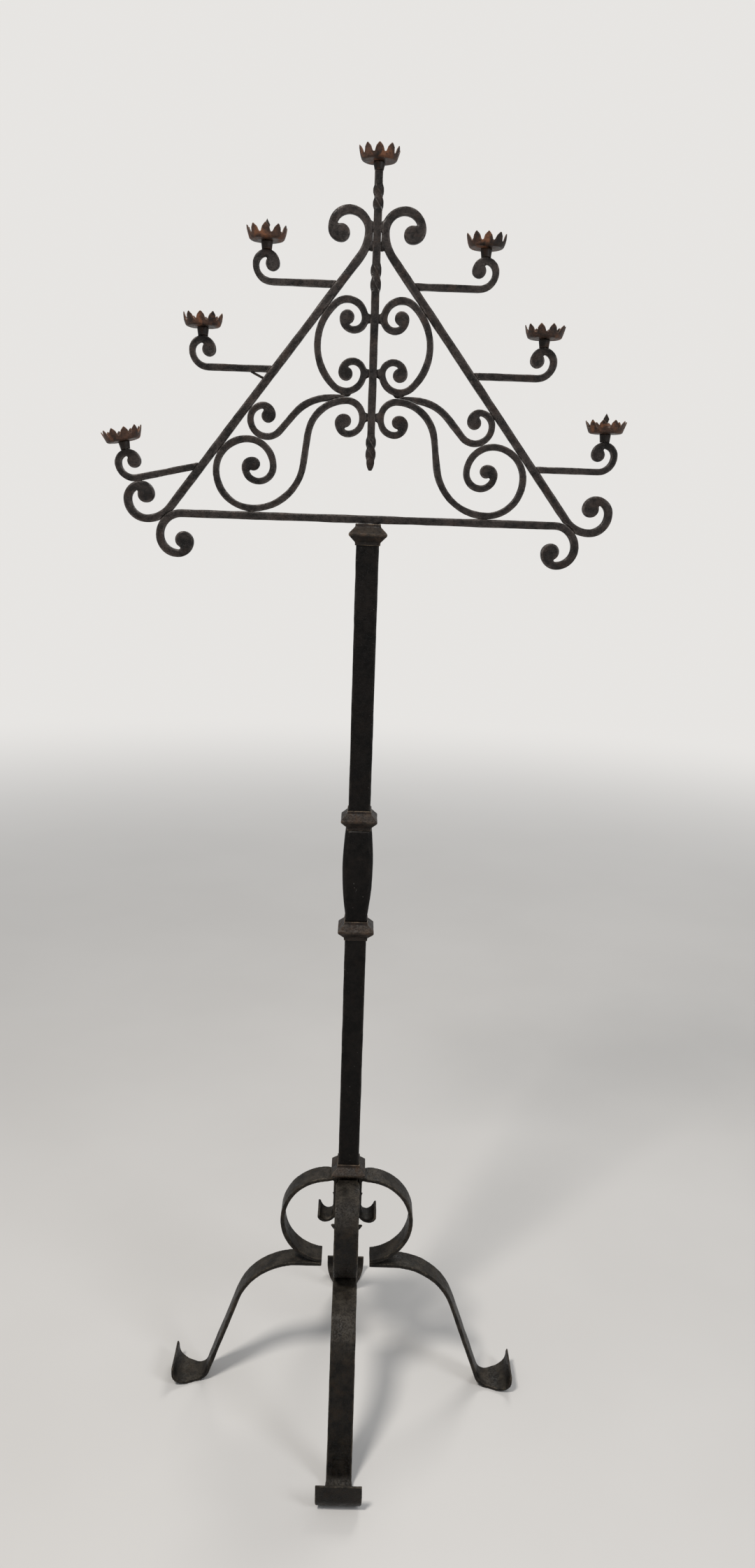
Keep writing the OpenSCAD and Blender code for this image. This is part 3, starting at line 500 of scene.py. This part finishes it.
# Distances from the rack between which the floor fades into the backdrop
FADE_FROM = 1.2
FADE_TO = 6.0
# Soft light from all round
ROOM_LIGHT = (0.93, 0.96, 1.0)
ROOM_LEVEL = 0.30
# The viewpoint: in front of the rack, looking a little down
VIEW_AT = (0.0, -1.5877, 1.313)
VIEW_TURN = -0.857
VIEW_TILT = 77.0
VIEW_ROLL = 1.96
VIEW_LENS = 27.19


def studio_floor():
    """A wide pale floor that fades into the backdrop."""
    mesh = bpy.data.meshes.new("studio_floor")
    form = bmesh.new()
    bmesh.ops.create_circle(form, cap_ends=True, segments=96, radius=FLOOR_R)
    form.to_mesh(mesh)
    form.free()
    floor = bpy.data.objects.new("studio_floor", mesh)
    bpy.context.scene.collection.objects.link(floor)
    made = bpy.data.materials.new("pale studio floor")
    made.use_nodes = True
    tree = made.node_tree
    tree.nodes.clear()
    out = add_node(tree, "ShaderNodeOutputMaterial", "out", (900, 0))
    matt = add_node(tree, "ShaderNodeBsdfPrincipled", "matt", (300, 200))
    matt.inputs["Roughness"].default_value = 0.75
    where = add_node(tree, "ShaderNodeTexCoord", "place", (-900, 0))
    tone = noise_of(tree, "floor tone", (-600, 200), where.outputs["Object"], 1.5, 4.0, 0.5)
    share = span(tree, "soft tone", (-350, 200), tone, 0.3, 0.7)
    colour = blend_colour(tree, "floor colour", (0, 200), share, FLOOR_DARK, FLOOR_LIGHT)
    feed(tree, colour, matt.inputs["Base Color"])
    far = add_node(tree, "ShaderNodeVectorMath", "distance", (-600, -200), operation="LENGTH")
    feed(tree, where.outputs["Object"], far.inputs[0])
    fade = span(tree, "fade out", (-350, -200), far.outputs["Value"], FADE_FROM, FADE_TO)
    glow = add_node(tree, "ShaderNodeEmission", "backdrop", (300, -200))
    glow.inputs["Color"].default_value = (*BACKDROP, 1.0)
    both = add_node(tree, "ShaderNodeMixShader", "both", (600, 0))
    feed(tree, fade, both.inputs[0])
    feed(tree, matt.outputs["BSDF"], both.inputs[1])
    feed(tree, glow.outputs["Emission"], both.inputs[2])
    feed(tree, both.outputs[0], out.inputs["Surface"])
    mesh.materials.append(made)


def studio_world():
    """The backdrop as it is seen, and a softer light from all round."""
    world = bpy.data.worlds.new("studio")
    world.use_nodes = True
    tree = world.node_tree
    tree.nodes.clear()
    out = add_node(tree, "ShaderNodeOutputWorld", "out", (600, 0))
    seen = add_node(tree, "ShaderNodeBackground", "seen", (0, 150))
    seen.inputs["Color"].default_value = (*BACKDROP, 1.0)
    light = add_node(tree, "ShaderNodeBackground", "light", (0, -150))
    light.inputs["Color"].default_value = (*ROOM_LIGHT, 1.0)
    light.inputs["Strength"].default_value = ROOM_LEVEL
    ray = add_node(tree, "ShaderNodeLightPath", "ray", (-300, 300))
    both = add_node(tree, "ShaderNodeMixShader", "both", (300, 0))
    feed(tree, ray.outputs["Is Camera Ray"], both.inputs[0])
    feed(tree, light.outputs[0], both.inputs[1])
    feed(tree, seen.outputs[0], both.inputs[2])
    feed(tree, both.outputs[0], out.inputs["Surface"])
    bpy.context.scene.world = world


def soft_lamp(name, at, towards, size, power, colour):
    """A round lamp of that size, turned towards a point."""
    data = bpy.data.lights.new(name, "AREA")
    data.shape = "DISK"
    data.size = size
    data.energy = power
    data.color = colour
    lamp = bpy.data.objects.new(name, data)
    lamp.location = at
    lamp.rotation_euler = (Vector(towards) - Vector(at)).to_track_quat("-Z", "Y").to_euler()
    bpy.context.scene.collection.objects.link(lamp)


def set_viewpoint():
    """The camera, turned about the upright axis, tilted and rolled."""
    data = bpy.data.cameras.new("viewpoint")
    data.lens = VIEW_LENS
    data.sensor_width = 36.0
    data.clip_start = 0.05
    data.clip_end = 100.0
    camera = bpy.data.objects.new("viewpoint", data)
    turn = Matrix.Rotation(math.radians(VIEW_TURN), 4, "Z")
    tilt = Matrix.Rotation(math.radians(VIEW_TILT), 4, "X")
    roll = Matrix.Rotation(math.radians(VIEW_ROLL), 4, "Z")
    camera.matrix_world = Matrix.Translation(VIEW_AT) @ (turn @ tilt @ roll)
    bpy.context.scene.collection.objects.link(camera)
    bpy.context.scene.camera = camera


studio_floor()
studio_world()
soft_lamp("key", at=(-1.1, -1.7, 3.5), towards=(0, 0, 1.1), size=0.7, power=95.0,
          colour=(1.0, 0.965, 0.92))
soft_lamp("fill", at=(2.2, -1.9, 2.2), towards=(0, 0, 1.0), size=1.2, power=30.0,
          colour=(0.95, 0.97, 1.0))
soft_lamp("back", at=(0.8, 2.4, 3.0), towards=(0, 0, 1.1), size=1.4, power=34.0,
          colour=(1.0, 0.98, 0.95))
set_viewpoint()
bpy.context.scene.view_settings.view_transform = "Standard"
